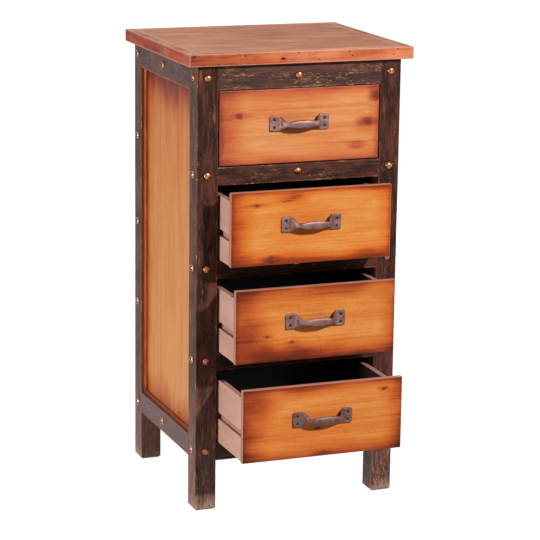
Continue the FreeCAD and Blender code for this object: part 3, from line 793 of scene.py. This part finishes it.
# dark discs laid on the face where the holes' shade falls
nail_material, nail_tree, nail_shader = new_finish("nail_hole_shadow")
nail_colour = blend(nail_tree, speckle(nail_tree, nail_hole_cells), tone(*nail_hole_shade_dark),
                    tone(*nail_hole_shade_brown))
surface(nail_tree, nail_shader, nail_colour, nail_hole_roughness)
nail_shape = turned_shape("nail_shape", nail_hole_outline, nail_hole_sides)
for drawer, places in nail_places.items():
    low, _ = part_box(drawer + "_front")
    points = [(low.x + x / 1000, low.y, low.z + z / 1000) for x, z in places]
    holes = set_at_points(drawer + "_nail_holes", points, [(0, -1, 0)] * len(points), nail_shape,
                          nail_material, nail_hole_width)
    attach(holes, drawer)


# Drawer boxes.
# Plain pinkish-brown boards, butted and glued, with the sides grooved along the outside for the
# runners; the insides, the back and the thin bottom are painted near-black as shade.
box_pink = (194, 146, 128)
box_pale = (208, 162, 144)
box_fibre_paint = ((140, 96, 82), 0.15)
box_groove_paint = ((156, 112, 94), 0.6)
box_inside_shade_black = (14, 9, 9)
box_inside_shade_dark = (26, 17, 15)
box_fibre = ((12, 400, 400), 0.0, 3.0, 0.6)
box_cloud = ((10, 24, 24), 5.0, 2.0, 0.6)
box_roughness = 0.55
box_bump = 0.0001


# Outward is the way the board's outer face looks along its thickness: -1, 1, or 0 for a board that
# is painted dark all over as shade.
def box_finish(node, along, seed, outward):
    material, tree, shader = new_finish("plain_" + node)
    board, half = board_place(tree, node, along)
    fibre = streaks(tree, board, seed, box_fibre)
    cloud = streaks(tree, board, seed, box_cloud)
    pale = blend(tree, soft_step(tree, cloud, 0.3, 0.7), tone(*box_pink), tone(*box_pale))
    pale = cover(tree, pale, soft_step(tree, fibre, 0.5, 0.8), box_fibre_paint)
    colour = blend(tree, soft_step(tree, fibre, 0.3, 0.7), tone(*box_inside_shade_black), tone(*box_inside_shade_dark))
    if outward:
        depth = times(tree, board[2], outward)
        groove = soft_step(tree, depth, half[2] - 0.0006, half[2] - 0.0012)
        pale = cover(tree, pale, groove, box_groove_paint)
        # the inner face painted near-black, painted shade
        inner = soft_step(tree, depth, -half[2] + 0.0008, -half[2] + 0.0002)
        colour = blend(tree, inner, pale, colour)
    surface(tree, shader, colour, box_roughness)
    bump(tree, shader, fibre, box_bump)
    dress(node, material)


for number, drawer in enumerate(drawer_grain):
    box_finish(drawer + "_side_left", "y", 2.0 * number, -1)
    box_finish(drawer + "_side_right", "y", 2.0 * number + 1, 1)
    box_finish(drawer + "_back", "x", 2.0 * number + 9, 0)
    box_finish(drawer + "_bottom", "x", 2.0 * number + 10, 0)


# Studs.
# Domed copper-coloured nail heads driven into the posts and rails. Those on the front are rubbed
# bright inside a dark rim; those on the sides have a dark middle and a pale rim painted as a reflection.
stud_width = 0.013
stud_outline = ((0.0, 0.0), (0.44, 0.0), (0.5, 0.02), (0.497, 0.07), (0.46, 0.135), (0.38, 0.21),
                (0.27, 0.27), (0.14, 0.308), (0.0, 0.32))
stud_spot_paint = ((58, 34, 30), 0.5)
stud_low_paint = ((132, 70, 50), 0.7)
stud_sides = 24
stud_cells = 260
stud_metal = 0.9
stud_bump = 0.00004


# The colour runs from deep to bright, edge colours the rim from rim_start outwards (on the side studs a
# painted reflection), and studs near the floor are browner.
def stud_finish(name, deep, bright, edge, rim_start, roughness):
    material, tree, shader = new_finish(name)
    spotted = speckle(tree, stud_cells, 4)
    rim = tree.nodes.new("ShaderNodeAttribute")
    rim.attribute_name = "rim"
    colour = blend(tree, soft_step(tree, spotted, 0.3, 0.7), tone(*deep), tone(*bright))
    colour = cover(tree, colour, soft_step(tree, spotted, 0.4, 0.34), stud_spot_paint)
    colour = cover(tree, colour, soft_step(tree, floor_height(tree), 0.6, 0.1), stud_low_paint)
    rim_share = weighted(tree, centred(tree, spotted), 0.4, rim.outputs["Fac"])
    colour = blend(tree, soft_step(tree, rim_share, rim_start, rim_start + 0.14), colour, tone(*edge))
    surface(tree, shader, colour, weighted(tree, spotted, -0.2, roughness), metal=stud_metal)
    bump(tree, shader, spotted, stud_bump)
    return material


def merged_copy(node):
    mesh = bmesh.new()
    mesh.from_mesh(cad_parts[node].data)
    bmesh.ops.remove_doubles(mesh, verts=mesh.verts, dist=1e-6)
    return mesh


# The low and high corners of every loose solid of a node, at rest
def loose_boxes(node):
    mesh = merged_copy(node)
    waiting = set(mesh.verts)
    boxes = []
    while waiting:
        found = [waiting.pop()]
        for vertex in found:
            for edge in vertex.link_edges:
                other = edge.other_vert(vertex)
                if other in waiting:
                    waiting.remove(other)
                    found.append(other)
        low = Vector([min(vertex.co[axis] for vertex in found) for axis in range(3)])
        high = Vector([max(vertex.co[axis] for vertex in found) for axis in range(3)])
        boxes.append((low, high))
    mesh.free()
    return sorted(boxes, key=lambda pair: tuple(pair[0]))


copper = stud_finish("aged_copper", deep=(126, 74, 48), bright=(196, 130, 86), edge=(46, 26, 22),
                     rim_start=0.9, roughness=0.38)
# side studs: the dark middle and the pale rim are a painted reflection of a dark room and a bright floor
side_copper_painted_reflection = stud_finish("copper_painted_reflection", deep=(70, 36, 26), bright=(120, 74, 54), edge=(196, 150, 132),
                      rim_start=0.76, roughness=0.28)
stud_shape = turned_shape("stud_shape", stud_outline, stud_sides)
for node, direction, stud_material in (("studs_front", Vector((0, -1, 0)), copper),
                                       ("studs_left", Vector((-1, 0, 0)), side_copper_painted_reflection),
                                       ("studs_right", Vector((1, 0, 0)), side_copper_painted_reflection)):
    points = []
    for low, high in loose_boxes(node):
        middle = (low + high) / 2
        reach = Vector([abs(value) for value in direction]).dot(high - low) / 2
        points.append(tuple(middle - direction * reach))
    studs = set_at_points(node + "_domes", points, [tuple(direction)] * len(points), stud_shape,
                          stud_material, stud_width)
    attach(studs, "cabinet")
    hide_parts(node)


# Handles and their screws.
# Each handle is one casting: two plates with an oval grip bowed out between them, its edges
# softened by the sand mould, under a brown patina that is painted darker on the lower drawers as
# shade. Dark countersunk screws hold it, two in each plate.
handle_grain = 0.0005
handle_smoothing = 8
handle_smoothing_share = 0.5
handle_cloud_cells = 90
handle_fleck_cells = 1400
handle_fleck_paint = ((150, 116, 108), 0.4)
handle_gloss = 0.25
handle_metal = 0.45
handle_bump = 0.00015
# the lower drawers' handles painted darker, as painted shade
handle_tones_with_painted_shade = {"drawer_1": ((116, 82, 76), (150, 112, 106)), "drawer_2": ((104, 72, 66), (136, 100, 94)),
                "drawer_3": ((98, 68, 62), (130, 94, 88)), "drawer_4": ((84, 56, 51), (112, 80, 74))}


def handle_finish(name, dark, light):
    material, tree, shader = new_finish(name)
    coarse = speckle(tree, handle_cloud_cells)
    fine = speckle(tree, handle_fleck_cells, 4)
    colour = blend(tree, soft_step(tree, coarse, 0.35, 0.65), tone(*dark), tone(*light))
    colour = cover(tree, colour, soft_step(tree, fine, 0.55, 0.7), handle_fleck_paint)
    roughness = weighted(tree, coarse, 0.2, 0.36)
    surface(tree, shader, colour, roughness, handle_gloss, handle_metal)
    bump(tree, shader, fine, handle_bump)
    return material


# A cast node's copy, rebuilt from cells as fine as the casting's grain and then smoothed
def softened_copy(node, name, material):
    holder = new_object(name + "_holder", finished_mesh(name + "_rough", merged_copy(node)))
    remesh = holder.modifiers.new("grain", "REMESH")
    remesh.mode = "VOXEL"
    remesh.voxel_size = handle_grain
    smooth = holder.modifiers.new("smooth", "SMOOTH")
    smooth.factor = handle_smoothing_share
    smooth.iterations = handle_smoothing
    evaluated = holder.evaluated_get(bpy.context.evaluated_depsgraph_get())
    result = bpy.data.meshes.new_from_object(evaluated)
    result.name = name
    result.materials.clear()
    result.materials.append(material)
    smooth_faces(result, True)
    bpy.data.objects.remove(holder)
    return new_object(name, result)


screw_width = 0.0052
screw_black = (30, 20, 20)
screw_grey = (62, 46, 44)
screw_cells = 1200
screw_roughness = 0.45
screw_metal = 0.6
screw_material, screw_tree, screw_shader = new_finish("blackened_screw")
screw_colour = blend(screw_tree, speckle(screw_tree, screw_cells), tone(*screw_black), tone(*screw_grey))
surface(screw_tree, screw_shader, screw_colour, screw_roughness, metal=screw_metal)


# A countersunk screw head of unit width, its face at zero height and a cross cut into it
def screw_head_shape():
    mesh = bmesh.new()
    side_count = 24
    face_radius, base_radius, base_depth = 0.5, 0.3, 0.3
    arm, tip, cross_depth, cross_taper = 0.07, 0.3, 0.12, 0.8
    rim = []
    base = []
    for side in range(side_count):
        angle = 2 * math.pi * side / side_count
        rim.append(mesh.verts.new((face_radius * math.cos(angle), face_radius * math.sin(angle), 0)))
        base.append(mesh.verts.new((base_radius * math.cos(angle), base_radius * math.sin(angle),
                                    -base_depth)))
    outline = []
    for quarter in range(4):
        turn = Matrix.Rotation(quarter * math.pi / 2, 3, "Z")
        for corner in ((tip, -arm), (tip, arm), (arm, arm)):
            outline.append(turn @ Vector((*corner, 0)))
    cross = [mesh.verts.new(corner) for corner in outline]
    floor = []
    for corner in outline:
        floor.append(mesh.verts.new((corner.x * cross_taper, corner.y * cross_taper, -cross_depth)))
    edges = []
    for ring in (rim, cross):
        for step in range(len(ring)):
            edges.append(mesh.edges.new((ring[step], ring[(step + 1) % len(ring)])))
    bmesh.ops.triangle_fill(mesh, use_beauty=True, use_dissolve=False, edges=edges)
    for ring, lower in ((rim, base), (cross, floor)):
        for step in range(len(ring)):
            after = (step + 1) % len(ring)
            mesh.faces.new((ring[step], ring[after], lower[after], lower[step]))
    mesh.faces.new(base)
    mesh.faces.new(floor)
    bmesh.ops.recalc_face_normals(mesh, faces=mesh.faces)
    return bpy.data.objects.new("screw_head_shape", finished_mesh("screw_head_shape", mesh))


screw_shape = screw_head_shape()
for drawer, (dark, light) in handle_tones_with_painted_shade.items():
    handle = softened_copy(drawer + "_handle", drawer + "_bow_handle",
                           handle_finish("brown_casting_" + drawer, dark, light))
    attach(handle, drawer)
    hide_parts(drawer + "_handle")
    points = [((low.x + high.x) / 2, low.y, (low.z + high.z) / 2)
              for low, high in loose_boxes(drawer + "_handle_screws")]
    screws = set_at_points(drawer + "_screw_heads", points, [(0, -1, 0)] * len(points), screw_shape,
                           screw_material, screw_width)
    smooth_faces(screws.data, False)
    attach(screws, drawer)
    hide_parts(drawer + "_handle_screws")


# The studio.
# A white sweep in a white room, with a high key lamp at the front right, soft fills at the left,
# right, back and overhead, and a faint low glow in front. The floor's white is only seen and gives
# no light, so the grey under it keeps a faint shadow.
floor_reach = 9.0
sweep_radius = 1.6
sweep_distance = 3.2
sweep_steps = 12
sweep_grey = (0.12, 0.12, 0.12, 1)
sweep_roughness = 0.9
# the white of the floor near the chest and away from it, and the distances between which it changes
near_white = 0.94
far_white = 1.0
near_distance = 0.7
far_distance = 1.6
room_strength = 0.015
white = (1, 1, 1, 1)


def sweep_mesh():
    outline = [(-floor_reach, 0.0), (sweep_distance, 0.0)]
    for step in range(1, sweep_steps + 1):
        angle = math.pi / 2 * step / sweep_steps
        outline.append((sweep_distance + sweep_radius * math.sin(angle),
                        sweep_radius * (1 - math.cos(angle))))
    outline.append((sweep_distance + sweep_radius, floor_reach))
    vertices = [(x, y, z) for y, z in outline for x in (-floor_reach, floor_reach)]
    faces = [(low, low + 1, low + 3, low + 2) for low in range(0, len(vertices) - 2, 2)]
    data = bpy.data.meshes.new("sweep")
    data.from_pydata(vertices, [], faces)
    return data


# 1 for the rays that see the white studio: the camera's, and those off gloss or through glass
def studio_seen(tree):
    rays = tree.nodes.new("ShaderNodeLightPath")
    seen = calc(tree, "ADD", rays.outputs["Is Camera Ray"], rays.outputs["Is Glossy Ray"])
    seen = calc(tree, "ADD", seen, rays.outputs["Is Transmission Ray"])
    return calc(tree, "MINIMUM", seen, 1.0)


sweep = new_object("sweep", sweep_mesh())
sweep_material, sweep_tree, sweep_shader = new_finish("white_sweep")
surface(sweep_tree, sweep_shader, sweep_grey, sweep_roughness)
place = sweep_tree.nodes.new("ShaderNodeTexCoord")
away = sweep_tree.nodes.new("ShaderNodeVectorMath")
away.operation = "LENGTH"
sweep_tree.links.new(place.outputs["Object"], away.inputs[0])
farness = soft_step(sweep_tree, away.outputs["Value"], near_distance, far_distance)
white_share = weighted(sweep_tree, farness, far_white - near_white, near_white)
glow = sweep_tree.nodes.new("ShaderNodeEmission")
glow.inputs["Color"].default_value = white
plug(sweep_tree, glow.inputs["Strength"], times(sweep_tree, studio_seen(sweep_tree), white_share))
adder = sweep_tree.nodes.new("ShaderNodeAddShader")
sweep_tree.links.new(sweep_shader.outputs[0], adder.inputs[0])
sweep_tree.links.new(glow.outputs[0], adder.inputs[1])
sweep_output = next(node for node in sweep_tree.nodes if node.type == "OUTPUT_MATERIAL")
sweep_tree.links.new(adder.outputs[0], sweep_output.inputs["Surface"])
sweep.data.materials.append(sweep_material)

world = bpy.data.worlds.new("room")
bpy.context.scene.world = world
world.use_nodes = True
room = world.node_tree
room.nodes.clear()
room_output = room.nodes.new("ShaderNodeOutputWorld")
room_mix = room.nodes.new("ShaderNodeMixShader")
plug(room, room_mix.inputs[0], studio_seen(room))
for socket, strength in ((room_mix.inputs[1], room_strength), (room_mix.inputs[2], 1.0)):
    room_light = room.nodes.new("ShaderNodeBackground")
    room_light.inputs["Color"].default_value = white
    room_light.inputs["Strength"].default_value = strength
    room.links.new(room_light.outputs[0], socket)
room.links.new(room_mix.outputs[0], room_output.inputs[0])

# for each lamp its place, its aim, its power in watts, its width and its spread in degrees
lamps = {
    "key": ((1.6, -3.9, 2.85), (0, -0.1, 0.45), 236, 0.28, 180),
    "left_fill": ((-2.2, -0.15, 0.5), (0, 0.05, 0.4), 34, 0.5, 180),
    "floor_glow": ((-0.25, -0.9, 0.12), (-0.1, -0.1, 0.12), 0.26, 0.4, 90),
    "right_fill": ((2.3, 0.5, 0.45), (0, 0.05, 0.4), 34, 0.6, 180),
    "back_fill": ((1.0, 2.5, 0.42), (0, 0.1, 0.4), 34, 0.6, 180),
    "overhead": ((-0.4, 0.1, 2.9), (0, 0, 0.6), 15, 0.9, 180),
}
for name, (place, aim, power, width, spread) in lamps.items():
    data = bpy.data.lights.new(name, "AREA")
    data.shape = "DISK"
    data.size = width
    data.energy = power
    data.spread = math.radians(spread)
    made = new_object(name, data)
    made.location = place
    made.rotation_euler = (Vector(aim) - Vector(place)).to_track_quat("-Z", "Y").to_euler()
    made.visible_camera = False

bpy.context.scene.view_settings.view_transform = "Standard"
